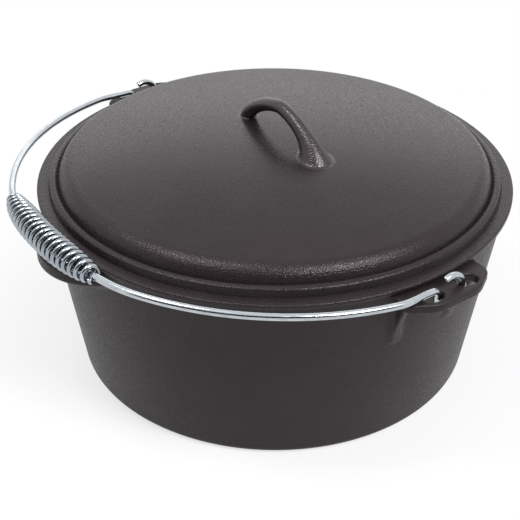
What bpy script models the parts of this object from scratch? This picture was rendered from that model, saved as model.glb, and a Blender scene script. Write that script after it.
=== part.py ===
"""A cast iron cauldron: pot, lift-off lid, wire bail and the coil grip on the bail.

Metres, +Z up. The origin is on the pot's axis, on the surface that it stands on. The pot's two
ears lie on the X axis, and the lowered bail rests on the pot's lip on the -Y side.
"""
import math

import bmesh
import bpy
from mathutils import Matrix, Vector

MM = 0.001

# Clearance between two pieces that touch
GAP = 0.3 * MM

# Points closer than this are one point
MERGE = 0.01 * MM

# Facets round a turned piece
TURN_STEPS = 72

# Length of a cutter beyond what it cuts
CUT_OVERRUN = 5.0 * MM

# Pot
RIM_RADIUS = 156.3 * MM
POT_HEIGHT = 128.0 * MM
WALL_DRAW = 18.1 * MM
WALL = 5.0 * MM
FLOOR = 6.0 * MM
BASE_CORNER = 5.0 * MM
FLOOR_CORNER = 16.0 * MM
RIM_ROUND = 1.2 * MM

# Ears, one at each end of the X axis
EAR_LENGTH = 22.2 * MM
EAR_NOSE = 10.0 * MM
EAR_HALF_WIDTH = 33.0 * MM
EAR_TIP_HALF_WIDTH = 16.0 * MM
EAR_THICK = 6.0 * MM
EAR_DROP = 1.0 * MM
EAR_CORNER = 9.0 * MM
EAR_TIP_ROUND = 20.0 * MM
WEB = 13.0 * MM
HOLE_LENGTH = 15.0 * MM
HOLE_WIDTH = 10.5 * MM
HOLE_INSET = 10.0 * MM
HOLE_POINTS = 16

# Ribs under each ear
RIB_OFFSET = 28.0 * MM
RIB_THICK = 5.5 * MM
RIB_HEIGHT = 37.0 * MM
RIB_REACH = 12.0 * MM
RIB_LEAN = math.radians(9.5)

# Lip that carries the lowered grip
LIP_RADIUS = 40.0 * MM
LIP_REACH = 20.0 * MM
LIP_DROP = 0.3 * MM
LIP_DEPTH = 9.5 * MM
LIP_TAPER = 9.0 * MM
LIP_ROOT_RADIUS = 20.0 * MM
LIP_EDGE = 1.5 * MM
LIP_STEPS = 48

# Lid: insets are measured inwards from its edge, heights upwards from its seat
LID_OVERHANG = 3.7 * MM
LID_CROWN = 27.5 * MM
SHOULDER_INSET = 17.5 * MM
SHOULDER_HEIGHT = 16.7 * MM
SHOULDER_ROUND = 12.0 * MM
GROOVE_INSET = 14.2 * MM
GROOVE_HEIGHT = 8.9 * MM
GROOVE_ROUND = 1.5 * MM
BEAD_INSET = 9.7 * MM
BEAD_HEIGHT = 8.3 * MM
BEAD_ROUND = 2.0 * MM
FLANGE_WIDTH = 8.0 * MM
FLANGE_THICK = 3.4 * MM
FLANGE_ROUND = 1.1 * MM
LID_WALL = 4.6 * MM
SEAT_RING_WIDTH = 4.5 * MM
SEAT_RING_DEPTH = 7.0 * MM
SEAT_RING_ROUND = 1.0 * MM
SEAT_RING_PLAY = 2.2 * MM
UNDER_DRAW = 3.6 * MM
UNDER_ROUND = 6.0 * MM
DOME_RINGS = 5

# Handle on the lid
HANDLE_HALF_SPAN = 39.8 * MM
HANDLE_SHIFT = 5.0 * MM
HANDLE_TURN = math.radians(-2.4)
HANDLE_RISE = 23.1 * MM
HANDLE_FULLNESS = 1.54
HANDLE_BAR = 4.8 * MM
HANDLE_LEFT_FLARE = 1.15
HANDLE_RIGHT_FLARE = 2.0
HANDLE_POINTS = 15

# Bail
WIRE = 4.5 * MM
BAIL_SIDE_OUT = 16.4 * MM
BAIL_FRONT_OUT = 20.1 * MM
BAIL_STEP = math.radians(4.0)
RING_RADIUS = 10.8 * MM
RING_SWEEP = math.radians(300.0)
RING_STEP = math.radians(16.0)
PIVOT_DROP = 2.4 * MM
BAIL_OFFSET = 4.5 * MM
DRAW_IN_START = 40.0 * MM

# Coil grip, and the flatter middle of the bail that it sits on
GRIP_OUT = 15.1 * MM
GRIP_BEND = 280.0 * MM
GRIP_BLEND = 2.6 * MM
GRIP_LENGTH = 107.0 * MM
GRIP_SHIFT = -6.0 * MM
GRIP_RADIUS = 9.4 * MM
GRIP_FULLNESS = 3.5
COIL_WIRE = 3.0 * MM
CURLS = 21
CURL_POINTS = 9

# Places that follow from the sizes above
BASE_RADIUS = RIM_RADIUS - WALL_DRAW
EAR_REACH = RIM_RADIUS + EAR_LENGTH
EAR_TOP = POT_HEIGHT - EAR_DROP
EAR_MIDDLE = EAR_TOP - EAR_THICK / 2
HOLE_CENTRE = EAR_REACH - HOLE_INSET
LIP_TOP = POT_HEIGHT - LIP_DROP
LID_RADIUS = RIM_RADIUS + LID_OVERHANG
LID_SEAT = POT_HEIGHT + GAP
SEAT_RING_RADIUS = RIM_RADIUS - WALL - SEAT_RING_PLAY
BAIL_SIDE = RIM_RADIUS + BAIL_SIDE_OUT
BAIL_FRONT = RIM_RADIUS + BAIL_FRONT_OUT
BAIL_MIDDLE = RIM_RADIUS + GRIP_OUT
PIVOT_HEIGHT = EAR_TOP - PIVOT_DROP


def clear_scene():
    for old in list(bpy.data.objects):
        bpy.data.objects.remove(old, do_unlink=True)


def collection(name):
    made = bpy.data.collections.new(name)
    bpy.context.scene.collection.children.link(made)
    return made


def material(name, colour, roughness, metallic):
    made = bpy.data.materials.new(name)
    made.use_nodes = True
    shader = made.node_tree.nodes["Principled BSDF"]
    shader.inputs["Base Color"].default_value = (*colour, 1.0)
    shader.inputs["Roughness"].default_value = roughness
    shader.inputs["Metallic"].default_value = metallic
    return made


def arc(centre_x, centre_z, radius, start, end, steps):
    """Points of an arc from start to end, in degrees."""
    angles = [math.radians(start + (end - start) * i / steps) for i in range(steps + 1)]
    return [(centre_x + radius * math.cos(a), centre_z + radius * math.sin(a)) for a in angles]


def rounded(corners, steps):
    """Closed outline from (x, y, radius) corners: an arc in place of each one with a radius."""
    points = []
    places = [Vector(corner[:2]) for corner in corners]
    for i, (x, y, radius) in enumerate(corners):
        if radius == 0:
            points.append((x, y))
            continue
        back = (places[i - 1] - places[i]).normalized()
        ahead = (places[(i + 1) % len(places)] - places[i]).normalized()
        half = back.angle(ahead) / 2
        centre = places[i] + (back + ahead).normalized() * (radius / math.sin(half))
        first = places[i] + back * (radius / math.tan(half)) - centre
        last = places[i] + ahead * (radius / math.tan(half)) - centre
        sweep = first.angle_signed(last)
        for k in range(steps + 1):
            ray = first.copy()
            ray.rotate(Matrix.Rotation(-sweep * k / steps, 2))
            points.append(tuple(centre + ray))
    return points


def add(name, data, into):
    made = bpy.data.objects.new(name, data)
    into.objects.link(made)
    return made


def turned(name, profile, into, steps=TURN_STEPS):
    """Body turned about Z from a profile of (radius, height) points."""
    mesh = bpy.data.meshes.new(name)
    points = [(radius, 0.0, height) for radius, height in profile]
    mesh.from_pydata(points, [(i, i + 1) for i in range(len(points) - 1)], [])
    made = add(name, mesh, into)
    screw = made.modifiers.new("turn", "SCREW")
    screw.axis = "Z"
    screw.steps = steps
    screw.render_steps = steps
    screw.use_merge_vertices = True
    screw.merge_threshold = MERGE
    screw.use_smooth_shade = True
    return made


def plate(name, outlines, thickness, into, matrix):
    """Flat plate in the XY plane of its matrix; the outlines after the first are holes."""
    curve = bpy.data.curves.new(name, "CURVE")
    curve.dimensions = "2D"
    curve.fill_mode = "BOTH"
    curve.extrude = thickness / 2
    for outline in outlines:
        spline = curve.splines.new("POLY")
        spline.points.add(len(outline) - 1)
        for point, (x, y) in zip(spline.points, outline):
            point.co = (x, y, 0.0, 1.0)
        spline.use_cyclic_u = True
    made = add(name, curve, into)
    made.matrix_world = matrix
    return made


def tube(name, points, radius, resolution, into, scales=None):
    """Round bar along the points, with closed ends."""
    curve = bpy.data.curves.new(name, "CURVE")
    curve.dimensions = "3D"
    curve.bevel_depth = radius
    curve.bevel_resolution = resolution
    curve.use_fill_caps = True
    spline = curve.splines.new("POLY")
    spline.points.add(len(points) - 1)
    for i, place in enumerate(points):
        spline.points[i].co = (*place, 1.0)
        spline.points[i].radius = scales[i] if scales else 1.0
    return add(name, curve, into)


def as_mesh(source, into):
    """Closed mesh object in place of a curve object."""
    bpy.context.view_layer.update()
    name = source.name
    seen = source.evaluated_get(bpy.context.evaluated_depsgraph_get())
    mesh = bpy.data.meshes.new_from_object(seen)
    matrix = source.matrix_world.copy()
    bpy.data.objects.remove(source, do_unlink=True)
    work = bmesh.new()
    work.from_mesh(mesh)
    bmesh.ops.remove_doubles(work, verts=work.verts, dist=MERGE)
    bmesh.ops.recalc_face_normals(work, faces=work.faces)
    work.to_mesh(mesh)
    work.free()
    made = add(name, mesh, into)
    made.matrix_world = matrix
    return made


def boolean(body, piece, operation):
    """Joins a piece to a body or cuts it out of it, and keeps the piece as a hidden tool."""
    step = body.modifiers.new(piece.name, "BOOLEAN")
    step.operation = operation
    step.object = piece
    piece.hide_render = True
    piece.display_type = "WIRE"


def wall_radius(height):
    """Outer radius of the pot's straight wall at a height."""
    return BASE_RADIUS + WALL_DRAW * height / POT_HEIGHT


def pot_profile():
    """Outside of the pot as a full body, from the middle of its top down to the middle of its base."""
    corners = [
        (0.0, POT_HEIGHT, 0.0), (RIM_RADIUS, POT_HEIGHT, RIM_ROUND),
        (BASE_RADIUS, 0.0, BASE_CORNER), (0.0, 0.0, 0.0),
    ]
    return rounded(corners, 3)


def bore_profile():
    """Space inside the pot, with a chamfer through the rim and a rounded floor corner."""
    top = POT_HEIGHT + CUT_OVERRUN
    inner_rim = RIM_RADIUS - WALL
    corners = [
        (0.0, top, 0.0), (inner_rim + RIM_ROUND + CUT_OVERRUN, top, 0.0),
        (inner_rim, POT_HEIGHT - RIM_ROUND, 0.0),
        (wall_radius(FLOOR) - WALL, FLOOR, FLOOR_CORNER), (0.0, FLOOR, 0.0),
    ]
    return rounded(corners, 5)


def ear_outlines():
    """Ear at the +X end: its rim, then its two holes."""
    root = RIM_RADIUS - WALL / 2
    root_angle = math.degrees(math.asin(EAR_HALF_WIDTH / root))
    inner_edge = arc(0.0, 0.0, root, root_angle, -root_angle, 8)
    shoulder = EAR_REACH - EAR_NOSE
    corners = [
        (inner_edge[-1][0], -EAR_HALF_WIDTH, 0.0), (shoulder, -EAR_HALF_WIDTH, EAR_CORNER),
        (EAR_REACH, -EAR_TIP_HALF_WIDTH, EAR_TIP_ROUND), (EAR_REACH, EAR_TIP_HALF_WIDTH, EAR_TIP_ROUND),
        (shoulder, EAR_HALF_WIDTH, EAR_CORNER), (inner_edge[0][0], EAR_HALF_WIDTH, 0.0),
    ]
    outer_edge = rounded(corners, 4)
    outlines = [outer_edge[1:-1] + inner_edge]
    for side in (-1, 1):
        middle = side * (WEB + HOLE_LENGTH) / 2
        turns = [2 * math.pi * i / HOLE_POINTS for i in range(HOLE_POINTS)]
        outlines.append([
            (HOLE_CENTRE + HOLE_WIDTH / 2 * math.cos(a), middle + HOLE_LENGTH / 2 * math.sin(a))
            for a in turns
        ])
    return outlines


def rib_outline():
    """Rib on its own plane: distance from the pot's axis, then height above the ear's middle."""
    def along(height, inset):
        reach = wall_radius(EAR_MIDDLE + height) - inset
        return math.sqrt(reach * reach - RIB_OFFSET * RIB_OFFSET)

    inset = WALL / 2
    return [
        (along(-RIB_HEIGHT, inset), -RIB_HEIGHT), (along(-RIB_HEIGHT, 0.0), -RIB_HEIGHT),
        (along(0.0, 0.0) + RIB_REACH, 0.0), (along(0.0, inset), 0.0),
    ]


def lip_profile():
    """Disc with chamfered edges and a taper below it."""
    under = LIP_TOP - LIP_DEPTH
    corners = [
        (0.0, LIP_TOP, 0.0), (LIP_RADIUS, LIP_TOP, LIP_EDGE), (LIP_RADIUS, under, LIP_EDGE),
        (LIP_ROOT_RADIUS, under - LIP_TAPER, 0.0), (0.0, under - LIP_TAPER, 0.0),
    ]
    return rounded(corners, 1)


def build_pot(into, tools):
    pot = turned("pot", pot_profile(), into)
    for side, angle in (("right", 0.0), ("left", math.pi)):
        spin = Matrix.Rotation(angle, 4, "Z")
        ear = plate("ear_" + side, ear_outlines(), EAR_THICK, tools,
                    spin @ Matrix.Translation((0.0, 0.0, EAR_MIDDLE)))
        boolean(pot, as_mesh(ear, tools), "UNION")
        for end in (-1, 1):
            top = Matrix.Translation((0.0, end * RIB_OFFSET, EAR_MIDDLE))
            upright = Matrix.Rotation(math.pi / 2 - end * RIB_LEAN, 4, "X")
            rib = plate(f"rib_{side}_{end}", [rib_outline()], RIB_THICK, tools, spin @ top @ upright)
            boolean(pot, as_mesh(rib, tools), "UNION")
    lip = turned("lip", lip_profile(), tools, LIP_STEPS)
    lip.location = (0.0, LIP_RADIUS - RIM_RADIUS - LIP_REACH, 0.0)
    boolean(pot, lip, "UNION")
    bore = turned("bore", bore_profile(), tools)
    boolean(pot, bore, "DIFFERENCE")
    return pot


def dome_corners(crown, edge_radius, edge_height):
    """Rings of a shallow dome from its middle outwards, without its edge."""
    radii = [edge_radius * i / DOME_RINGS for i in range(DOME_RINGS)]
    return [(r, crown - (crown - edge_height) * (r / edge_radius) ** 2, 0.0) for r in radii]


def lid_profile():
    """Dome, shoulder, groove, bead and flange, then back along the seat ring and the underside."""
    shoulder = LID_RADIUS - SHOULDER_INSET
    ring_inside = SEAT_RING_RADIUS - SEAT_RING_WIDTH
    under_edge = ring_inside - UNDER_DRAW
    under_height = SHOULDER_HEIGHT - LID_WALL
    corners = dome_corners(LID_CROWN, shoulder, SHOULDER_HEIGHT)
    corners += [
        (shoulder, SHOULDER_HEIGHT, SHOULDER_ROUND),
        (LID_RADIUS - GROOVE_INSET, GROOVE_HEIGHT, GROOVE_ROUND),
        (LID_RADIUS - BEAD_INSET, BEAD_HEIGHT, BEAD_ROUND),
        (LID_RADIUS - FLANGE_WIDTH, FLANGE_THICK, GROOVE_ROUND),
        (LID_RADIUS, FLANGE_THICK, FLANGE_ROUND),
        (LID_RADIUS, 0.0, FLANGE_ROUND),
        (SEAT_RING_RADIUS, 0.0, 0.0),
        (SEAT_RING_RADIUS, -SEAT_RING_DEPTH, SEAT_RING_ROUND),
        (ring_inside, -SEAT_RING_DEPTH, 0.0),
        (under_edge, under_height, UNDER_ROUND),
    ]
    corners += reversed(dome_corners(LID_CROWN - LID_WALL, under_edge, under_height))
    return [(r, LID_SEAT + height) for r, height in rounded(corners, 2)]


def handle_points():
    """Arch near X, from inside the lid's wall up and over and back into it, with each bar scale.

    The right foot flares widely, and the left one hardly at all.
    """
    foot_height = LID_SEAT + LID_CROWN - LID_WALL / 2
    power = 2 / HANDLE_FULLNESS
    points = []
    scales = []
    for i in range(HANDLE_POINTS):
        turn = math.pi * (0.5 - i / (HANDLE_POINTS - 1))
        lift = abs(math.cos(turn)) ** power
        along = math.copysign(HANDLE_HALF_SPAN * abs(math.sin(turn)) ** power, turn)
        x = along * math.cos(HANDLE_TURN)
        y = HANDLE_SHIFT + along * math.sin(HANDLE_TURN)
        points.append((x, y, foot_height + HANDLE_RISE * lift))
        flare = HANDLE_RIGHT_FLARE if turn > 0 else HANDLE_LEFT_FLARE
        scales.append(1 + (flare - 1) * (1 - lift) ** 2)
    return points, scales


def build_lid(into, tools):
    lid = turned("lid", lid_profile(), into)
    points, scales = handle_points()
    handle = tube("handle", points, HANDLE_BAR, 3, tools, scales)
    boolean(lid, as_mesh(handle, tools), "UNION")
    return lid


def smooth_step(share):
    share = min(max(share, 0.0), 1.0)
    return share * share * (3 - 2 * share)


def bail_back(across):
    """Distance of the bail's curve from the pivot line: an ellipse, flatter at its middle."""
    curved = BAIL_FRONT * math.sqrt(1 - (across / BAIL_SIDE) ** 2)
    flat = BAIL_MIDDLE - across * across / (2 * GRIP_BEND)
    near = max(GRIP_BLEND - abs(curved - flat), 0.0)
    return min(curved, flat) - near * near / (4 * GRIP_BLEND)


def bail_points():
    """Bail in its own flat frame: the pivot line is X, and the grip is on the -Y side."""
    side_end = RING_RADIUS + BAIL_OFFSET
    last = math.acos(side_end / BAIL_FRONT)
    draw_in = BAIL_SIDE * math.sin(last) - HOLE_CENTRE
    count = round(last / BAIL_STEP)
    main = []
    for i in range(count + 1):
        across = BAIL_SIDE * math.sin(last * i / count)
        back = bail_back(across)
        drawn = draw_in * smooth_step((DRAW_IN_START - back) / (DRAW_IN_START - side_end))
        main.append((across - drawn, -back, BAIL_OFFSET))
    dip = arc(-side_end, 0.0, BAIL_OFFSET, 90, 0, 4)[1:-1]
    ring_count = round(RING_SWEEP / RING_STEP)
    ring = arc(0.0, 0.0, RING_RADIUS, 180, 180 + math.degrees(RING_SWEEP), ring_count)
    half = main + [(HOLE_CENTRE, y, z) for y, z in dip + ring]
    other = [(-x, y, z) for x, y, z in reversed(half[1:])]
    return other + half


def grip_points():
    """Helix round the bail's wire, narrow at its ends, in the bail's flat frame."""
    steps = CURLS * CURL_POINTS
    chord = math.cos(math.pi / CURL_POINTS)
    end_radius = (WIRE / 2 + GAP + COIL_WIRE / 2) / chord
    full_radius = GRIP_RADIUS - COIL_WIRE / 2
    points = []
    for i in range(steps + 1):
        share = i / steps
        bulge = 1 - abs(2 * share - 1) ** GRIP_FULLNESS
        radius = end_radius + (full_radius - end_radius) * bulge
        around = 2 * math.pi * CURLS * share
        across = GRIP_SHIFT + (share - 0.5) * GRIP_LENGTH
        slope = (bail_back(across + MM) - bail_back(across - MM)) / (2 * MM)
        angle = math.atan(-slope)
        out = radius * math.cos(around)
        up = BAIL_OFFSET + radius * math.sin(around)
        points.append((across + out * math.sin(angle), -bail_back(across) - out * math.cos(angle), up))
    return points


def least_gap(points, thickness, skip):
    """Least free distance between curls: over points at least skip places apart."""
    least = math.inf
    for i in range(len(points)):
        for j in range(i + skip, min(i + 2 * CURL_POINTS, len(points))):
            least = min(least, math.dist(points[i], points[j]))
    return least - thickness


def bail_lift():
    """Angle by which the grip's seat on the lip lifts the bail above its flat frame."""
    seat = LIP_TOP + GAP + GRIP_RADIUS - PIVOT_HEIGHT
    reach = math.hypot(BAIL_MIDDLE, BAIL_OFFSET)
    return math.asin(seat / reach) - math.atan2(BAIL_OFFSET, BAIL_MIDDLE)


def build_bail(into):
    pivot = bpy.data.objects.new("bail_pivot", None)
    pivot.location = (0.0, 0.0, PIVOT_HEIGHT)
    pivot.rotation_euler = (-bail_lift(), 0.0, 0.0)
    into.objects.link(pivot)
    bail = tube("bail", bail_points(), WIRE / 2, 2, into)
    coil = grip_points()
    grip = tube("coil_grip", coil, COIL_WIRE / 2, 1, into)
    bail.parent = pivot
    grip.parent = pivot
    gap = least_gap(coil, COIL_WIRE, CURL_POINTS // 2 + 1)
    print(f"least gap of the coil to itself: {gap / MM:.2f} mm")
    return bail, grip


def main():
    clear_scene()
    parts = collection("cauldron")
    tools = collection("tools")
    iron = (0.062, 0.053, 0.055)
    pot = build_pot(parts, tools)
    lid = build_lid(parts, tools)
    bail, grip = build_bail(parts)
    pot.data.materials.append(material("pot iron", iron, 0.62, 0.35))
    lid.data.materials.append(material("lid iron", iron, 0.58, 0.35))
    bail.data.materials.append(material("bail wire", (0.78, 0.80, 0.83), 0.22, 1.0))
    grip.data.materials.append(material("grip wire", (0.80, 0.82, 0.85), 0.18, 1.0))


main()
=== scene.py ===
"""Looks of the cast iron cauldron: finer castings, bright wires, materials, light and camera."""
import math

import bpy
import numpy as np
from mathutils import Matrix, Vector


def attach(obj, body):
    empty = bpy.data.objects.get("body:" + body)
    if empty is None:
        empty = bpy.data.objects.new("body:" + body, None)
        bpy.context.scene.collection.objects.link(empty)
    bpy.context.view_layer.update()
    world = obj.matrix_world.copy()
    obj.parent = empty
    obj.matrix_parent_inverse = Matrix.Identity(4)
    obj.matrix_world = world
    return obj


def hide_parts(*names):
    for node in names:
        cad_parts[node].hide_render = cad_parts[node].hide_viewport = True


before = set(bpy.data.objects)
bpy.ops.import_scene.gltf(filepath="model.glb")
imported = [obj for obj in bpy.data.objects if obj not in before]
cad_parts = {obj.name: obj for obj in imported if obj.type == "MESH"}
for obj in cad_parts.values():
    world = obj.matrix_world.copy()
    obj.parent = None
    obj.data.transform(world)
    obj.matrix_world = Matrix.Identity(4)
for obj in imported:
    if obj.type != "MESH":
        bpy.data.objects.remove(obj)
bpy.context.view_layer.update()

MM = 0.001

# Sizes of the solids, with finer roundings. A comment marks each other small change.
GAP = 0.3 * MM
RIM_RADIUS = 156.3 * MM
POT_HEIGHT = 128.0 * MM
WALL_DRAW = 18.1 * MM
WALL = 5.0 * MM
FLOOR = 6.0 * MM
BASE_CORNER = 5.0 * MM
FLOOR_CORNER = 16.0 * MM
RIM_ROUND = 1.2 * MM
BASE_RADIUS = RIM_RADIUS - WALL_DRAW
WALL_LEAN = math.atan2(WALL_DRAW, POT_HEIGHT)

EAR_REACH = 178.5 * MM
EAR_NOSE = 10.0 * MM
EAR_HALF_WIDTH = 33.0 * MM
EAR_TIP_HALF_WIDTH = 16.0 * MM
EAR_THICK = 6.0 * MM
EAR_DROP = 1.0 * MM
EAR_MIDDLE = POT_HEIGHT - EAR_DROP - EAR_THICK / 2
EAR_CORNER = 9.0 * MM
EAR_TIP_ROUND = 20.0 * MM
WEB = 13.0 * MM
HOLE_LENGTH = 15.0 * MM
HOLE_WIDTH = 10.5 * MM
HOLE_CENTRE = 168.5 * MM
HOLE_MIDDLE = (WEB + HOLE_LENGTH) / 2
EAR_ROOT = 12.0 * MM

RIB_OFFSET = 28.0 * MM
RIB_THICK = 5.5 * MM
RIB_HEIGHT = 37.0 * MM
RIB_REACH = 12.0 * MM
RIB_LEAN = math.radians(9.5)
RIB_ROOT = 6.0 * MM

LIP_RADIUS = 40.0 * MM
LIP_REACH = 20.0 * MM
LIP_DROP = 0.3 * MM
LIP_TOP = POT_HEIGHT - LIP_DROP
LIP_DEPTH = 9.5 * MM
LIP_TAPER = 9.0 * MM
LIP_ROOT_RADIUS = 20.0 * MM
LIP_TOP_ROUND = 2.0 * MM
LIP_UNDER_ROUND = 3.0 * MM
LIP_ROOT_ROUND = 4.0 * MM

LID_RADIUS = 160.0 * MM
LID_SEAT = POT_HEIGHT + GAP
LID_CROWN = 27.5 * MM
SHOULDER_HEIGHT = 16.7 * MM
SHOULDER_INSET = 17.5 * MM
SHOULDER_ROUND = 12.0 * MM
FLANGE_THICK = 3.4 * MM
FLANGE_ROUND = 1.1 * MM
LID_WALL = 4.6 * MM
SEAT_RING_RADIUS = 149.1 * MM
SEAT_RING_WIDTH = 4.5 * MM
SEAT_RING_DEPTH = 7.0 * MM
SEAT_RING_ROOT_ROUND = 0.6 * MM
SEAT_RING_ROUND = 1.0 * MM
UNDER_DRAW = 3.6 * MM
UNDER_ROUND = 6.0 * MM

# Inset from the lid's edge, height over its seat and rounding: crisper than in the solid
GROOVE = (14.3 * MM, 7.5 * MM, 0.0)
BEAD_INNER = (12.3 * MM, 9.3 * MM, 1.6 * MM)
BEAD_OUTER = (8.9 * MM, 8.4 * MM, 2.0 * MM)
FLANGE_INNER = (7.6 * MM, FLANGE_THICK, 0.0)

HANDLE_HALF_SPAN = 39.8 * MM
HANDLE_SHIFT = 5.0 * MM
HANDLE_TURN = math.radians(-2.4)
HANDLE_RISE = 23.1 * MM
HANDLE_FULLNESS = 1.54
HANDLE_LEFT_FLARE = 1.15
HANDLE_FOOT = LID_SEAT + LID_CROWN - LID_WALL / 2

# Radius smaller by 0.25 mm than in the solid, and a right foot that widens right down to the dome
HANDLE_BAR = 4.55 * MM
HANDLE_RIGHT_FLARE = 2.45
FLARE_POWER = 2.5

WIRE = 4.5 * MM
BAIL_SIDE = 172.7 * MM
BAIL_FRONT = 176.4 * MM
BAIL_MIDDLE = 171.4 * MM
RING_SWEEP = 300.0
PIVOT_HEIGHT = 124.6 * MM
BAIL_OFFSET = 4.5 * MM
DRAW_IN_START = 40.0 * MM

# Smaller by 0.5 mm than in the solid, so that the hooks stay above the ears' lower edge
RING_RADIUS = 10.3 * MM

GRIP_BEND = 280.0 * MM
GRIP_BLEND = 2.6 * MM
GRIP_LENGTH = 107.0 * MM
GRIP_SHIFT = -6.0 * MM
GRIP_RADIUS = 9.4 * MM
GRIP_FULLNESS = 3.5
COIL_WIRE = 3.0 * MM
CURLS = 21

# How much thinner the round coil wire is than the solid's, to stay inside the solid's box
COIL_TRIM = 0.14 * MM

# Rounded edges and fillets of the castings
HOLE_EDGE = 0.8 * MM
EAR_EDGE = 1.4 * MM
RIB_EDGE = 1.6 * MM
RIM_EDGE = 1.0 * MM
RIB_FILLET = 3.0 * MM
WALL_FILLET = 5.0 * MM
HANDLE_FILLET = 1.2 * MM

# Boxes that hold the forms made from distance fields, the spacing of their nets, and how far
# from the handle its skin is kept
EAR_BOX = ((140 * MM, -42 * MM, 78 * MM), (181 * MM, 42 * MM, 130 * MM))
LIP_BOX = ((-48 * MM, -179 * MM, 100 * MM), (48 * MM, -128 * MM, 130 * MM))
HANDLE_BOX = ((-53 * MM, -12 * MM, 147 * MM), (60 * MM, 22 * MM, 185 * MM))
POT_NET = 0.8 * MM
HANDLE_NET = 0.7 * MM
HANDLE_SKIN = 2.5 * MM

# Smoothness of the castings and the wires, and how often a net's points move nearer to its skin
TURN_STEPS = 288
HOLE_POINTS = 40
SHARP_ANGLE = math.radians(35)
DOME_POINTS = 18
UNDER_POINTS = 12
HANDLE_STEPS = 40
BAIL_STEPS = 90
DIP_STEPS = 8
RING_STEPS = 60
CURL_STEPS = 36
BAIL_SIDES = 24
COIL_SIDES = 16
SNAP_STEPS = 5

# Rounded ends of the wires: share of the radius, and distance from the end in radii
WIRE_ENDS = [(0.85, 0.0), (0.97, 0.15), (1.0, 0.4)]

# Iron: colours, spots per metre of its noises, depth of its pebbles, share of the grain that is
# left where the lid is worn smooth, and width of that place's edge
IRON_DARK = (0.0150, 0.0105, 0.0118)
IRON_LIGHT = (0.0205, 0.0155, 0.0168)
IRON_TINT = (1.0, 0.92, 0.93, 1.0)
BLOTCH_SCALE = 22.0
GRAIN_SCALE = 950.0
PEBBLE_SCALE = 420.0
PEBBLE_DEPTH = 0.06 * MM
WORN_GRAIN = 0.22
WORN_EDGE = 8.0 * MM

# Plating: colours, share of the colour in duller spots, spots per metre, and depth of drawing marks
BAIL_COLOUR = (0.52, 0.56, 0.59)
GRIP_COLOUR = (0.38, 0.42, 0.455)
# Painted shade on the bail rod inside the coil grip: its colour, and the width over which it fades
# out at the coil's ends
COIL_SHADE_COLOUR = (0.05, 0.055, 0.06, 1.0)
COIL_SHADE_EDGE = 6.0 * MM
DULL_SHARE = 0.86
DULL_ROUGHNESS = 0.26
BRIGHT_ROUGHNESS = 0.12
SPOT_SCALE = 160.0
DRAWN_SCALE = 1400.0
DRAWN_DEPTH = 0.02 * MM

# Floor and room: the floor turns white between two distances from the middle
FLOOR_HALF = 20.0
FLOOR_DROP = 0.2 * MM
FLOOR_COLOUR = (0.93, 0.93, 0.93, 1.0)
SHADOW_RADIUS = 0.14
WHITE_RADIUS = 0.30
WHITE_SHARE = 0.70
ROOM_STRENGTH = 0.45
WHITE = (1.0, 1.0, 1.0, 1.0)
CLOTH_AZIMUTH = math.radians(-37.7)
CLOTH_DISTANCE = 1.6
CLOTH_HALF_WIDTH = 2.2
CLOTH_HEIGHTS = (0.2, 1.75)
CLOTH_COLOUR = (0.02, 0.02, 0.02, 1.0)

CAMERA_PLACE = (0.5338, -0.4126, 0.5013)
CAMERA_TILT = math.radians(56.665)
CAMERA_AZIMUTH = math.radians(53.14)
CAMERA_LENS = 77.86
CAMERA_SENSOR = 36.0

# Lamps: name, place, width and height, and watts. All aim at one point.
LAMP_TARGET = (0.0, 0.0, 0.13)
LAMPS = [
    ("right", (0.83, 0.08, 1.08), (0.4, 0.4), 13.0),
    ("left", (-0.20, -0.51, 1.31), (0.3, 0.3), 7.5),
    ("back", (-1.25, 0.97, 0.75), (1.8, 0.6), 3.0),
]


def link(name, data):
    made = bpy.data.objects.new(name, data)
    bpy.context.scene.collection.objects.link(made)
    return made


def smooth_mesh(name, points, faces):
    mesh = bpy.data.meshes.new(name)
    mesh.from_pydata([tuple(p) for p in points], [], faces)
    mesh.validate()
    for face in mesh.polygons:
        face.use_smooth = True
    return mesh


# Outlines

def arc(centre_x, centre_y, radius, start, end, steps):
    """Points of an arc from start to end, in degrees."""
    angles = [math.radians(start + (end - start) * i / steps) for i in range(steps + 1)]
    return [(centre_x + radius * math.cos(a), centre_y + radius * math.sin(a)) for a in angles]


def rounded(corners, steps):
    """Closed outline from (x, y, radius) corners: an arc in place of each one with a radius."""
    points = []
    places = [Vector(corner[:2]) for corner in corners]
    for i, (x, y, radius) in enumerate(corners):
        if radius == 0:
            points.append((x, y))
            continue
        back = (places[i - 1] - places[i]).normalized()
        ahead = (places[(i + 1) % len(places)] - places[i]).normalized()
        half = back.angle(ahead) / 2
        centre = places[i] + (back + ahead).normalized() * (radius / math.sin(half))
        first = places[i] + back * (radius / math.tan(half)) - centre
        last = places[i] + ahead * (radius / math.tan(half)) - centre
        sweep = first.angle_signed(last)
        for k in range(steps + 1):
            ray = first.copy()
            ray.rotate(Matrix.Rotation(-sweep * k / steps, 2))
            points.append(tuple(centre + ray))
    return points


def with_more_points(profile, longest=6.0 * MM, edge=0.4 * MM):
    """The same line with points added, close to each corner and along each long run."""
    points = [profile[0]]
    for first, last in zip(profile, profile[1:]):
        start, end = Vector(first), Vector(last)
        length = (end - start).length
        if length > 4 * edge:
            count = max(1, math.ceil(length / longest))
            shares = [edge / length] + [i / count for i in range(1, count)] + [1 - edge / length]
            points += [tuple(start.lerp(end, share)) for share in shares]
        points.append(last)
    return points


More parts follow.
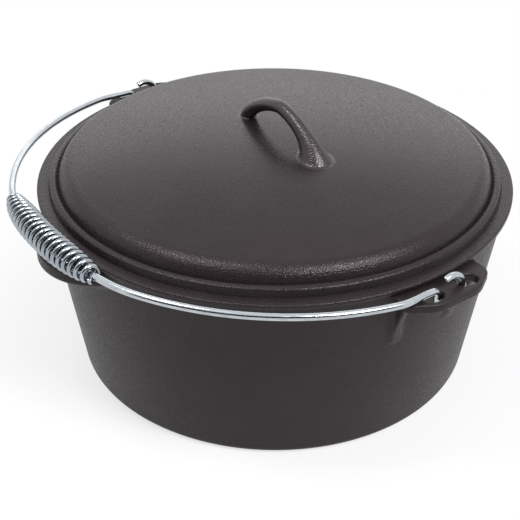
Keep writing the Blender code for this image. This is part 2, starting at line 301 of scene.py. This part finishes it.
def turned_mesh(name, profile):
    """Body turned about Z from a (radius, height) profile that starts and ends on the axis."""
    on_axis = 0.001 * MM
    points = []
    rows = []
    for radius, height in profile:
        if radius < on_axis:
            rows.append([len(points)] * TURN_STEPS)
            points.append((0.0, 0.0, height))
        else:
            rows.append(list(range(len(points), len(points) + TURN_STEPS)))
            for k in range(TURN_STEPS):
                angle = 2 * math.pi * k / TURN_STEPS
                points.append((radius * math.cos(angle), radius * math.sin(angle), height))
    faces = []
    for upper, lower in zip(rows, rows[1:]):
        for k in range(TURN_STEPS):
            after = (k + 1) % TURN_STEPS
            ring = [upper[k], lower[k], lower[after], upper[after]]
            faces.append(list(dict.fromkeys(ring)))
    mesh = smooth_mesh(name, points, faces)
    mesh.set_sharp_from_angle(angle=SHARP_ANGLE)
    return mesh


# Distance fields, for the cast forms that run into each other in soft fillets

def soft_min(a, b, reach):
    near = np.maximum(reach - np.abs(a - b), 0.0) / reach
    return np.minimum(a, b) - near * near * reach * 0.25


def soft_max(a, b, reach):
    return -soft_min(-a, -b, reach)


def polygon_distance(x, y, outline):
    """Signed distance to a closed outline, below 0 inside it."""
    best = np.full(x.shape, np.inf)
    inside = np.zeros(x.shape, dtype=bool)
    for i in range(len(outline)):
        ax, ay = outline[i - 1]
        bx, by = outline[i]
        ex, ey = bx - ax, by - ay
        px, py = x - ax, y - ay
        share = np.clip((px * ex + py * ey) / (ex * ex + ey * ey), 0.0, 1.0)
        best = np.minimum(best, (px - share * ex) ** 2 + (py - share * ey) ** 2)
        if ay != by:
            crosses = ((ay > y) != (by > y)) & (x < ex * (y - ay) / ey + ax)
            inside ^= crosses
    return np.where(inside, -1.0, 1.0) * np.sqrt(best)


def plate_distance(flat, height, thickness, edge):
    """Distance to a plate with rounded edges.

    The first two values are the distance to its outline and the height over its middle.
    """
    across = flat + edge
    up = np.abs(height) - thickness / 2 + edge
    outer = np.hypot(np.maximum(across, 0.0), np.maximum(up, 0.0))
    return np.minimum(np.maximum(across, up), 0.0) + outer - edge


def field_mesh(name, field, extra, box, step, reach):
    """Skin of a distance field in a box, kept where the extra form is nearer than reach.

    The kept skin ends just under the surface that it runs into.
    """
    nudge = 0.05 * MM
    end_depth = 0.12 * MM
    tiny = 1e-9
    axes = [np.arange(a, b + step, step) for a, b in zip(*box)]
    grid = np.meshgrid(*axes, indexing="ij")
    inside = field(*grid) < 0.0
    sides = [(slice(None, -1), slice(1, None))] * 3
    count = sum(inside[i, j, k].astype(int) for i in sides[0] for j in sides[1] for k in sides[2])
    mixed = (count > 0) & (count < 8)
    index = np.full(mixed.shape, -1)
    index[mixed] = np.arange(mixed.sum())
    points = [(g[:-1, :-1, :-1][mixed] + step / 2) for g in grid]
    for _ in range(SNAP_STEPS):
        value = field(*points)
        slopes = []
        for axis in range(3):
            moved = [p + (nudge if i == axis else 0.0) for i, p in enumerate(points)]
            slopes.append((field(*moved) - value) / nudge)
        size = sum(s * s for s in slopes) + tiny
        points = [p - np.clip(value / size, -step, step) * s for p, s in zip(points, slopes)]
    away = extra(*points)
    size = np.sqrt(size)
    sink = np.where(away > reach, end_depth, 0.0)
    points = [p - sink * s / size for p, s in zip(points, slopes)]
    faces = []
    for axis in range(3):
        one, two = (axis + 1) % 3, (axis + 2) % 3
        here = [slice(1, -1)] * 3
        here[axis] = slice(None, -1)
        there = list(here)
        there[axis] = slice(1, None)
        before = inside[tuple(here)]
        after = inside[tuple(there)]
        for change, flip in ((before & ~after, False), (~before & after, True)):
            at = np.argwhere(change)
            if len(at) == 0:
                continue
            base = at.copy()
            base[:, one] += 1
            base[:, two] += 1
            ring = []
            for da, db in ((0, 0), (1, 0), (1, 1), (0, 1)):
                cell = base.copy()
                cell[:, one] -= da
                cell[:, two] -= db
                ring.append(index[cell[:, 0], cell[:, 1], cell[:, 2]])
            quads = np.stack(ring, axis=1)
            faces.append(quads[:, ::-1] if flip else quads)
    faces = np.concatenate(faces)
    faces = faces[(faces >= 0).all(axis=1)]
    faces = faces[(away[faces] < reach).any(axis=1)]
    used = np.unique(faces)
    place = np.full(len(away), -1)
    place[used] = np.arange(len(used))
    kept = np.stack(points, axis=1)[used]
    return smooth_mesh(name, kept, place[faces].tolist())


# Pot

def pot_profile():
    """Bowl from the middle of its base, up the outside, over the rim and down the inside."""
    inner_rim = RIM_RADIUS - WALL
    inner_base = BASE_RADIUS + WALL_DRAW * FLOOR / POT_HEIGHT - WALL
    corners = [
        (0.0, 0.0, 0.0), (BASE_RADIUS, 0.0, BASE_CORNER), (RIM_RADIUS, POT_HEIGHT, RIM_ROUND),
        (inner_rim, POT_HEIGHT, RIM_ROUND), (inner_base, FLOOR, FLOOR_CORNER), (0.0, FLOOR, 0.0),
    ]
    return with_more_points(rounded(corners, steps=6))


def wall_field(x, y, z):
    return (np.hypot(x, y) - BASE_RADIUS - WALL_DRAW * z / POT_HEIGHT) * math.cos(WALL_LEAN)


def ear_outline():
    shoulder = EAR_REACH - EAR_NOSE
    inner = RIM_RADIUS - EAR_ROOT
    corners = [
        (inner, -EAR_HALF_WIDTH, 0.0), (shoulder, -EAR_HALF_WIDTH, EAR_CORNER),
        (EAR_REACH, -EAR_TIP_HALF_WIDTH, EAR_TIP_ROUND),
        (EAR_REACH, EAR_TIP_HALF_WIDTH, EAR_TIP_ROUND),
        (shoulder, EAR_HALF_WIDTH, EAR_CORNER), (inner, EAR_HALF_WIDTH, 0.0),
    ]
    return rounded(corners, steps=10)


def hole_outline(side):
    """Oval hole before (side -1) or behind (side 1) the ear's web."""
    middle = side * HOLE_MIDDLE
    turns = [2 * math.pi * i / HOLE_POINTS for i in range(HOLE_POINTS)]
    return [
        (HOLE_CENTRE + HOLE_WIDTH / 2 * math.cos(a), middle + HOLE_LENGTH / 2 * math.sin(a))
        for a in turns
    ]


EAR_OUTLINE = ear_outline()
HOLES = [hole_outline(side) for side in (-1, 1)]


def rib_corners():
    def along(height, inset):
        reach = BASE_RADIUS + WALL_DRAW * (EAR_MIDDLE + height) / POT_HEIGHT - inset
        return math.sqrt(reach * reach - RIB_OFFSET * RIB_OFFSET)

    return [
        (along(-RIB_HEIGHT, RIB_ROOT), -RIB_HEIGHT), (along(-RIB_HEIGHT, 0.0), -RIB_HEIGHT),
        (along(0.0, 0.0) + RIB_REACH, 0.0), (along(0.0, RIB_ROOT), 0.0),
    ]


RIB_OUTLINE = rib_corners()


def ear_field(x, y, z):
    """Right ear with its holes and its two ribs."""
    flat = polygon_distance(x, y, EAR_OUTLINE)
    for hole in HOLES:
        flat = soft_max(flat, -polygon_distance(x, y, hole), HOLE_EDGE)
    whole = plate_distance(flat, z - EAR_MIDDLE, EAR_THICK, EAR_EDGE)
    for end in (-1, 1):
        lean = math.pi / 2 - end * RIB_LEAN
        dy = y - end * RIB_OFFSET
        dz = z - EAR_MIDDLE
        up = dy * math.cos(lean) + dz * math.sin(lean)
        across = dz * math.cos(lean) - dy * math.sin(lean)
        rib = plate_distance(polygon_distance(x, up, RIB_OUTLINE), across, RIB_THICK, RIB_EDGE)
        whole = soft_min(whole, rib, RIB_FILLET)
    return whole


def lip_outline():
    under = LIP_TOP - LIP_DEPTH
    corners = [
        (0.0, LIP_TOP, 0.0), (LIP_RADIUS, LIP_TOP, LIP_TOP_ROUND),
        (LIP_RADIUS, under, LIP_UNDER_ROUND),
        (LIP_ROOT_RADIUS, under - LIP_TAPER, LIP_ROOT_ROUND), (0.0, under - LIP_TAPER, 0.0),
    ]
    return rounded(corners, steps=8)


LIP_OUTLINE = lip_outline()


def lip_field(x, y, z):
    centre_y = LIP_RADIUS - RIM_RADIUS - LIP_REACH
    return polygon_distance(np.hypot(x, y - centre_y), z, LIP_OUTLINE)


def on_wall(extra):
    """Field of the wall with an extra form, level with the rim at its top."""
    def field(x, y, z):
        joined = soft_min(wall_field(x, y, z), extra(x, y, z), WALL_FILLET)
        return soft_max(joined, z - LIP_TOP, RIM_EDGE)
    return field


def build_pot():
    """Bowl, and the ears and the lip as its children."""
    bowl = link("pot_casting", turned_mesh("pot_casting", pot_profile()))
    ear = field_mesh("ear", on_wall(ear_field), ear_field, EAR_BOX, POT_NET, WALL_FILLET)
    pieces = []
    for side, angle in (("right", 0.0), ("left", math.pi)):
        mesh = ear.copy()
        mesh.transform(Matrix.Rotation(angle, 4, "Z"))
        pieces.append(link("ear_" + side, mesh))
    lip = field_mesh("lip", on_wall(lip_field), lip_field, LIP_BOX, POT_NET, WALL_FILLET)
    pieces.append(link("grip_lip", lip))
    for piece in pieces:
        piece.parent = bowl
    return bowl, pieces


# Lid

def dome_height(radius, crown, edge_radius, edge_height):
    return crown - (crown - edge_height) * (radius / edge_radius) ** 2


def dome_points(crown, edge_radius, edge_height, count):
    radii = [edge_radius * i / count for i in range(count)]
    return [(r, dome_height(r, crown, edge_radius, edge_height), 0.0) for r in radii]


def lid_profile():
    """Dome from its middle out to the flange, then the seat ring and back along the underside."""
    shoulder = LID_RADIUS - SHOULDER_INSET
    ring_inside = SEAT_RING_RADIUS - SEAT_RING_WIDTH
    under_edge = ring_inside - UNDER_DRAW
    under_height = SHOULDER_HEIGHT - LID_WALL
    corners = dome_points(LID_CROWN, shoulder, SHOULDER_HEIGHT, DOME_POINTS)
    corners.append((shoulder, SHOULDER_HEIGHT, SHOULDER_ROUND))
    for inset, height, edge in (GROOVE, BEAD_INNER, BEAD_OUTER, FLANGE_INNER):
        corners.append((LID_RADIUS - inset, height, edge))
    corners += [
        (LID_RADIUS, FLANGE_THICK, FLANGE_ROUND),
        (LID_RADIUS, 0.0, FLANGE_ROUND),
        (SEAT_RING_RADIUS, 0.0, SEAT_RING_ROOT_ROUND),
        (SEAT_RING_RADIUS, -SEAT_RING_DEPTH, SEAT_RING_ROUND),
        (ring_inside, -SEAT_RING_DEPTH, SEAT_RING_ROUND),
        (under_edge, under_height, UNDER_ROUND),
    ]
    corners += reversed(dome_points(LID_CROWN - LID_WALL, under_edge, under_height, UNDER_POINTS))
    return with_more_points([(r, LID_SEAT + z) for r, z in rounded(corners, steps=7)])


def handle_line():
    """Points of the handle's middle line in its own flat frame."""
    power = 2 / HANDLE_FULLNESS
    points = []
    for i in range(HANDLE_STEPS + 1):
        turn = math.pi * (0.5 - i / HANDLE_STEPS)
        lift = abs(math.cos(turn)) ** power
        along = math.copysign(HANDLE_HALF_SPAN * abs(math.sin(turn)) ** power, turn)
        points.append((along, HANDLE_FOOT + HANDLE_RISE * lift))
    return points


HANDLE_LINE = handle_line()


def handle_field(x, y, z):
    """Arch of a round bar that widens towards its feet."""
    back = y - HANDLE_SHIFT
    along = x * math.cos(HANDLE_TURN) + back * math.sin(HANDLE_TURN)
    aside = back * math.cos(HANDLE_TURN) - x * math.sin(HANDLE_TURN)
    best = np.full(x.shape, np.inf)
    for (ax, az), (bx, bz) in zip(HANDLE_LINE, HANDLE_LINE[1:]):
        ex, ez = bx - ax, bz - az
        px, pz = along - ax, z - az
        share = np.clip((px * ex + pz * ez) / (ex * ex + ez * ez), 0.0, 1.0)
        best = np.minimum(best, np.hypot(px - share * ex, pz - share * ez))
    flare = np.where(along > 0, HANDLE_RIGHT_FLARE, HANDLE_LEFT_FLARE)
    lift = np.clip((z - HANDLE_FOOT) / HANDLE_RISE, 0.0, 1.0)
    return np.hypot(best, aside) - HANDLE_BAR * (1 + (flare - 1) * (1 - lift) ** FLARE_POWER)


def dome_field(x, y, z):
    shoulder = LID_RADIUS - SHOULDER_INSET
    height = dome_height(np.hypot(x, y), LID_SEAT + LID_CROWN, shoulder, LID_SEAT + SHOULDER_HEIGHT)
    return z - height


def lid_field(x, y, z):
    return soft_min(dome_field(x, y, z), handle_field(x, y, z), HANDLE_FILLET)


def build_lid():
    """Turned lid, and its handle as its child."""
    lid = link("lid_casting", turned_mesh("lid_casting", lid_profile()))
    handle = field_mesh("handle", lid_field, handle_field, HANDLE_BOX, HANDLE_NET, HANDLE_SKIN)
    grip = link("lid_handle", handle)
    grip.parent = lid
    return lid, grip


# Wires

def smooth_step(share):
    share = min(max(share, 0.0), 1.0)
    return share * share * (3 - 2 * share)


def bail_back(across):
    """Distance of the bail's curve from the pivot line: an ellipse, flatter at its middle."""
    curved = BAIL_FRONT * math.sqrt(1 - (across / BAIL_SIDE) ** 2)
    flat = BAIL_MIDDLE - across * across / (2 * GRIP_BEND)
    near = max(GRIP_BLEND - abs(curved - flat), 0.0)
    return min(curved, flat) - near * near / (4 * GRIP_BLEND)


def bail_line():
    """Bail in its own flat frame: the pivot line is X, and the grip is on the -Y side."""
    side_end = RING_RADIUS + BAIL_OFFSET
    last = math.acos(side_end / BAIL_FRONT)
    draw_in = BAIL_SIDE * math.sin(last) - HOLE_CENTRE
    main = []
    for i in range(BAIL_STEPS + 1):
        across = BAIL_SIDE * math.sin(last * i / BAIL_STEPS)
        back = bail_back(across)
        drawn = draw_in * smooth_step((DRAW_IN_START - back) / (DRAW_IN_START - side_end))
        main.append((across - drawn, -back, BAIL_OFFSET))
    dip = arc(-side_end, 0.0, BAIL_OFFSET, 90, 0, DIP_STEPS)[1:-1]
    ring = arc(0.0, 0.0, RING_RADIUS, 180, 180 + RING_SWEEP, RING_STEPS)
    half = main + [(HOLE_CENTRE, y, z) for y, z in dip + ring]
    return [(-x, y, z) for x, y, z in reversed(half[1:])] + half


def grip_line():
    """Helix round the bail's wire, narrow at its ends, in the bail's flat frame."""
    steps = CURLS * CURL_STEPS
    end_radius = WIRE / 2 + GAP + COIL_WIRE / 2
    full_radius = GRIP_RADIUS - COIL_WIRE / 2
    points = []
    for i in range(steps + 1):
        share = i / steps
        bulge = 1 - abs(2 * share - 1) ** GRIP_FULLNESS
        radius = end_radius + (full_radius - end_radius) * bulge
        around = 2 * math.pi * CURLS * share
        across = GRIP_SHIFT + (share - 0.5) * GRIP_LENGTH
        slope = (bail_back(across + MM) - bail_back(across - MM)) / (2 * MM)
        angle = math.atan(-slope)
        out = radius * math.cos(around)
        up = BAIL_OFFSET + radius * math.sin(around)
        back = bail_back(across) + out * math.cos(angle)
        points.append((across + out * math.sin(angle), -back, up))
    return points


def bail_lift():
    seat = LIP_TOP + GAP + GRIP_RADIUS - PIVOT_HEIGHT
    reach = math.hypot(BAIL_MIDDLE, BAIL_OFFSET)
    return math.asin(seat / reach) - math.atan2(BAIL_OFFSET, BAIL_MIDDLE)


def tube_mesh(name, line, radius, around):
    """Round wire along a line, with ends that are rounded over their edges."""
    spine = np.array(line)
    tangent = np.gradient(spine, axis=0)
    tangent /= np.linalg.norm(tangent, axis=1)[:, None]
    first, last = tangent[0], tangent[-1]
    ends = len(WIRE_ENDS)
    start = [spine[0] + first * radius * along for _, along in WIRE_ENDS]
    end = [spine[-1] - last * radius * along for _, along in reversed(WIRE_ENDS)]
    spine = np.concatenate([start, spine[2:-2], end])
    tangent = np.concatenate([[first] * ends, tangent[2:-2], [last] * ends])
    closing = [share for share, _ in WIRE_ENDS]
    scales = closing + [1.0] * (len(spine) - 2 * ends) + closing[::-1]
    side = np.cross(tangent[0], (0.0, 0.0, 1.0))
    side /= np.linalg.norm(side)
    turns = 2 * np.pi * np.arange(around) / around
    points = []
    for spot, along, scale in zip(spine, tangent, scales):
        side = side - along * np.dot(side, along)
        side /= np.linalg.norm(side)
        up = np.cross(along, side)
        ring = np.outer(np.cos(turns), side) + np.outer(np.sin(turns), up)
        points.extend(spot + ring * radius * scale)
    faces = []
    for i in range(len(spine) - 1):
        for k in range(around):
            near, far = i * around, (i + 1) * around
            after = (k + 1) % around
            faces.append([near + k, near + after, far + after, far + k])
    faces.append(list(range(around))[::-1])
    faces.append([(len(spine) - 1) * around + k for k in range(around)])
    return smooth_mesh(name, points, faces)


def wire_object(name, line, radius, around):
    mesh = tube_mesh(name, line, radius, around)
    place = Matrix.Translation((0.0, 0.0, PIVOT_HEIGHT)) @ Matrix.Rotation(-bail_lift(), 4, "X")
    mesh.transform(place)
    return link(name, mesh)


# Materials

def nodes_of(name):
    made = bpy.data.materials.new(name)
    made.use_nodes = True
    return made, made.node_tree.nodes, made.node_tree.links


def noise(nodes, links, place, scale, detail, roughness):
    made = nodes.new("ShaderNodeTexNoise")
    made.inputs["Scale"].default_value = scale
    made.inputs["Detail"].default_value = detail
    made.inputs["Roughness"].default_value = roughness
    links.new(place, made.inputs["Vector"])
    return made.outputs["Fac"]


def ramp(nodes, links, source, stops):
    made = nodes.new("ShaderNodeValToRGB")
    while len(made.color_ramp.elements) < len(stops):
        made.color_ramp.elements.new(0.5)
    for element, (position, colour) in zip(made.color_ramp.elements, stops):
        element.position = position
        shade = colour if isinstance(colour, tuple) else (colour,) * 3
        element.color = (*shade, 1.0)
    links.new(source, made.inputs["Fac"])
    return made.outputs["Color"]


def bump(nodes, links, height, distance, normal=None):
    made = nodes.new("ShaderNodeBump")
    made.inputs["Distance"].default_value = distance
    links.new(height, made.inputs["Height"])
    if normal is not None:
        links.new(normal, made.inputs["Normal"])
    return made


def grain_left(nodes, links, place, worn_radius):
    """How much of the grain is left: little inside a radius about Z, and all of it outside."""
    flat = nodes.new("ShaderNodeVectorMath")
    flat.operation = "MULTIPLY"
    flat.inputs[1].default_value = (1.0, 1.0, 0.0)
    links.new(place, flat.inputs[0])
    radius = nodes.new("ShaderNodeVectorMath")
    radius.operation = "LENGTH"
    links.new(flat.outputs["Vector"], radius.inputs[0])
    left = nodes.new("ShaderNodeMapRange")
    left.interpolation_type = "SMOOTHSTEP"
    left.inputs["From Min"].default_value = worn_radius
    left.inputs["From Max"].default_value = worn_radius + WORN_EDGE
    left.inputs["To Min"].default_value = WORN_GRAIN
    links.new(radius.outputs["Value"], left.inputs["Value"])
    return left.outputs["Result"]


def iron(name, specular, roughness, grain_depth, worn_radius=0.0):
    """Seasoned cast iron: a dark satin film over a pebbled casting skin.

    The two roughness values are those of the grain's pits and of its tops.
    """
    made, nodes, links = nodes_of(name)
    shader = nodes["Principled BSDF"]
    shader.inputs["Specular IOR Level"].default_value = specular
    shader.inputs["Specular Tint"].default_value = IRON_TINT
    place = nodes.new("ShaderNodeTexCoord").outputs["Object"]
    blotch = noise(nodes, links, place, BLOTCH_SCALE, detail=5.0, roughness=0.6)
    grain = noise(nodes, links, place, GRAIN_SCALE, detail=2.0, roughness=0.5)
    pebble = noise(nodes, links, place, PEBBLE_SCALE, detail=3.0, roughness=0.5)
    colour = ramp(nodes, links, blotch, [(0.3, IRON_DARK), (0.7, IRON_LIGHT)])
    links.new(colour, shader.inputs["Base Color"])
    dullness = ramp(nodes, links, grain, [(0.40, roughness[0]), (0.62, roughness[1])])
    links.new(dullness, shader.inputs["Roughness"])
    low = bump(nodes, links, pebble, PEBBLE_DEPTH)
    high = bump(nodes, links, grain, grain_depth, low.outputs["Normal"])
    if worn_radius > 0:
        links.new(grain_left(nodes, links, place, worn_radius), high.inputs["Strength"])
    links.new(high.outputs["Normal"], shader.inputs["Normal"])
    return made


def painted_coil_shade(nodes, links, place, plating, half):
    """The plating's colour with painted shade between the ends of the coil grip, where the coil
    shades the rod.
    """
    split = nodes.new("ShaderNodeSeparateXYZ")
    links.new(place, split.inputs[0])
    middle = nodes.new("ShaderNodeMath")
    middle.operation = "SUBTRACT"
    middle.inputs[1].default_value = GRIP_SHIFT
    links.new(split.outputs["X"], middle.inputs[0])
    across = nodes.new("ShaderNodeMath")
    across.operation = "ABSOLUTE"
    links.new(middle.outputs[0], across.inputs[0])
    share = nodes.new("ShaderNodeMapRange")
    share.inputs["From Min"].default_value = half - COIL_SHADE_EDGE
    share.inputs["From Max"].default_value = half
    links.new(across.outputs[0], share.inputs["Value"])
    mix = nodes.new("ShaderNodeMixRGB")
    mix.inputs["Color1"].default_value = COIL_SHADE_COLOUR
    links.new(share.outputs["Result"], mix.inputs["Fac"])
    links.new(plating, mix.inputs["Color2"])
    return mix.outputs["Color"]


def chrome(name, colour, coil_shade_half=0.0):
    """Bright plating with fine drawing marks and duller spots, and painted shade where a coil
    covers the rod.
    """
    made, nodes, links = nodes_of(name)
    shader = nodes["Principled BSDF"]
    shader.inputs["Metallic"].default_value = 1.0
    place = nodes.new("ShaderNodeTexCoord").outputs["Object"]
    spots = noise(nodes, links, place, SPOT_SCALE, detail=4.0, roughness=0.6)
    drawn = noise(nodes, links, place, DRAWN_SCALE, detail=2.0, roughness=0.5)
    dull = tuple(c * DULL_SHARE for c in colour)
    plating = ramp(nodes, links, spots, [(0.35, dull), (0.6, colour)])
    # Painted shade on the rod along the coil grip, where the coil shades it
    if coil_shade_half > 0:
        plating = painted_coil_shade(nodes, links, place, plating, coil_shade_half)
    links.new(plating, shader.inputs["Base Color"])
    dullness = ramp(nodes, links, spots, [(0.35, DULL_ROUGHNESS), (0.65, BRIGHT_ROUGHNESS)])
    links.new(dullness, shader.inputs["Roughness"])
    links.new(bump(nodes, links, drawn, DRAWN_DEPTH).outputs["Normal"], shader.inputs["Normal"])
    return made


# Stage

def build_floor():
    """Pale floor that keeps the object's shadow and turns into plain white further out."""
    size = FLOOR_HALF
    mesh = bpy.data.meshes.new("floor")
    corners = [(-size, -size, 0.0), (size, -size, 0.0), (size, size, 0.0), (-size, size, 0.0)]
    mesh.from_pydata(corners, [], [(0, 1, 2, 3)])
    floor = link("floor", mesh)
    floor.location.z = -FLOOR_DROP
    made, nodes, links = nodes_of("floor")
    mesh.materials.append(made)
    shader = nodes["Principled BSDF"]
    shader.inputs["Base Color"].default_value = FLOOR_COLOUR
    shader.inputs["Roughness"].default_value = 0.9
    shader.inputs["Specular IOR Level"].default_value = 0.1
    distance = nodes.new("ShaderNodeVectorMath")
    distance.operation = "LENGTH"
    links.new(nodes.new("ShaderNodeTexCoord").outputs["Object"], distance.inputs[0])
    spread = nodes.new("ShaderNodeMapRange")
    spread.interpolation_type = "SMOOTHSTEP"
    spread.inputs["From Min"].default_value = SHADOW_RADIUS
    spread.inputs["From Max"].default_value = WHITE_RADIUS
    spread.inputs["To Min"].default_value = WHITE_SHARE
    links.new(distance.outputs["Value"], spread.inputs["Value"])
    share = nodes.new("ShaderNodeMath")
    share.operation = "MULTIPLY"
    links.new(spread.outputs["Result"], share.inputs[0])
    links.new(seen_directly(nodes, links), share.inputs[1])
    white = nodes.new("ShaderNodeEmission")
    mix = nodes.new("ShaderNodeMixShader")
    links.new(share.outputs[0], mix.inputs["Fac"])
    links.new(shader.outputs[0], mix.inputs[1])
    links.new(white.outputs[0], mix.inputs[2])
    links.new(mix.outputs[0], nodes["Material Output"].inputs["Surface"])


def seen_directly(nodes, links):
    """1 where the camera, a mirror image or glass shows the background, else 0."""
    path = nodes.new("ShaderNodeLightPath")
    seen = path.outputs["Is Camera Ray"]
    for other in ("Is Glossy Ray", "Is Transmission Ray"):
        both = nodes.new("ShaderNodeMath")
        both.operation = "MAXIMUM"
        links.new(seen, both.inputs[0])
        links.new(path.outputs[other], both.inputs[1])
        seen = both.outputs[0]
    return seen


def build_world():
    """Even pale room, and plain white wherever it is seen directly."""
    world = bpy.data.worlds.new("studio")
    bpy.context.scene.world = world
    world.use_nodes = True
    nodes, links = world.node_tree.nodes, world.node_tree.links
    nodes.clear()
    light = nodes.new("ShaderNodeBackground")
    light.inputs["Color"].default_value = WHITE
    light.inputs["Strength"].default_value = ROOM_STRENGTH
    white = nodes.new("ShaderNodeBackground")
    white.inputs["Color"].default_value = WHITE
    mix = nodes.new("ShaderNodeMixShader")
    out = nodes.new("ShaderNodeOutputWorld")
    links.new(seen_directly(nodes, links), mix.inputs["Fac"])
    links.new(light.outputs[0], mix.inputs[1])
    links.new(white.outputs[0], mix.inputs[2])
    links.new(mix.outputs[0], out.inputs["Surface"])


def build_cloth():
    """Black cloth behind the camera: it darkens mirror images there and isn't seen itself."""
    out = Vector((math.cos(CLOTH_AZIMUTH), math.sin(CLOTH_AZIMUTH), 0.0)) * CLOTH_DISTANCE
    side = Vector((-math.sin(CLOTH_AZIMUTH), math.cos(CLOTH_AZIMUTH), 0.0)) * CLOTH_HALF_WIDTH
    low, high = [Vector((0.0, 0.0, height)) for height in CLOTH_HEIGHTS]
    mesh = bpy.data.meshes.new("front_cloth")
    corners = [out - side + low, out + side + low, out + side + high, out - side + high]
    mesh.from_pydata(corners, [], [(0, 1, 2, 3)])
    cloth = link("front_cloth", mesh)
    cloth.visible_camera = False
    made, nodes, _ = nodes_of("front_cloth")
    mesh.materials.append(made)
    shader = nodes["Principled BSDF"]
    shader.inputs["Base Color"].default_value = CLOTH_COLOUR
    shader.inputs["Roughness"].default_value = 1.0
    shader.inputs["Specular IOR Level"].default_value = 0.0


def build_lamps():
    """Soft area lamps."""
    for name, place, size, power in LAMPS:
        data = bpy.data.lights.new(name, "AREA")
        data.shape = "RECTANGLE"
        data.size, data.size_y = size
        data.energy = power
        lamp = link(name, data)
        lamp.location = place
        aim = Vector(LAMP_TARGET) - Vector(place)
        lamp.rotation_euler = aim.to_track_quat("-Z", "Y").to_euler()


def build_camera():
    data = bpy.data.cameras.new("camera")
    data.lens = CAMERA_LENS
    data.sensor_width = CAMERA_SENSOR
    camera = link("camera", data)
    camera.location = CAMERA_PLACE
    camera.rotation_euler = (CAMERA_TILT, 0.0, CAMERA_AZIMUTH)
    bpy.context.scene.camera = camera


def finish_with(piece, material):
    piece.data.materials.clear()
    piece.data.materials.append(material)


build_camera()
build_floor()
build_world()
build_cloth()
build_lamps()

pot_iron = iron("pot iron", specular=0.25, roughness=(0.52, 0.34), grain_depth=0.15 * MM)
lid_iron = iron(
    "lid iron", specular=0.26, roughness=(0.38, 0.13), grain_depth=0.36 * MM,
    worn_radius=132.0 * MM)
handle_iron = iron("handle iron", specular=0.6, roughness=(0.38, 0.13), grain_depth=0.32 * MM)
# The bail rod gets painted shade along the coil grip's length
bail_chrome = chrome("bail wire", BAIL_COLOUR, coil_shade_half=GRIP_LENGTH / 2)
grip_chrome = chrome("grip wire", GRIP_COLOUR)

bowl, pot_pieces = build_pot()
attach(bowl, "pot")
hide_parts("pot")
for piece in [bowl] + pot_pieces:
    finish_with(piece, pot_iron)

lid, handle = build_lid()
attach(lid, "lid")
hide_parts("lid")
finish_with(lid, lid_iron)
finish_with(handle, handle_iron)

bail = wire_object("bail_rod", bail_line(), WIRE / 2, BAIL_SIDES)
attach(bail, "bail")
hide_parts("bail")
finish_with(bail, bail_chrome)

coil = wire_object("grip_coil", grip_line(), (COIL_WIRE - COIL_TRIM) / 2, COIL_SIDES)
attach(coil, "bail")
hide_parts("coil_grip")
finish_with(coil, grip_chrome)

bpy.context.scene.view_settings.view_transform = "Standard"
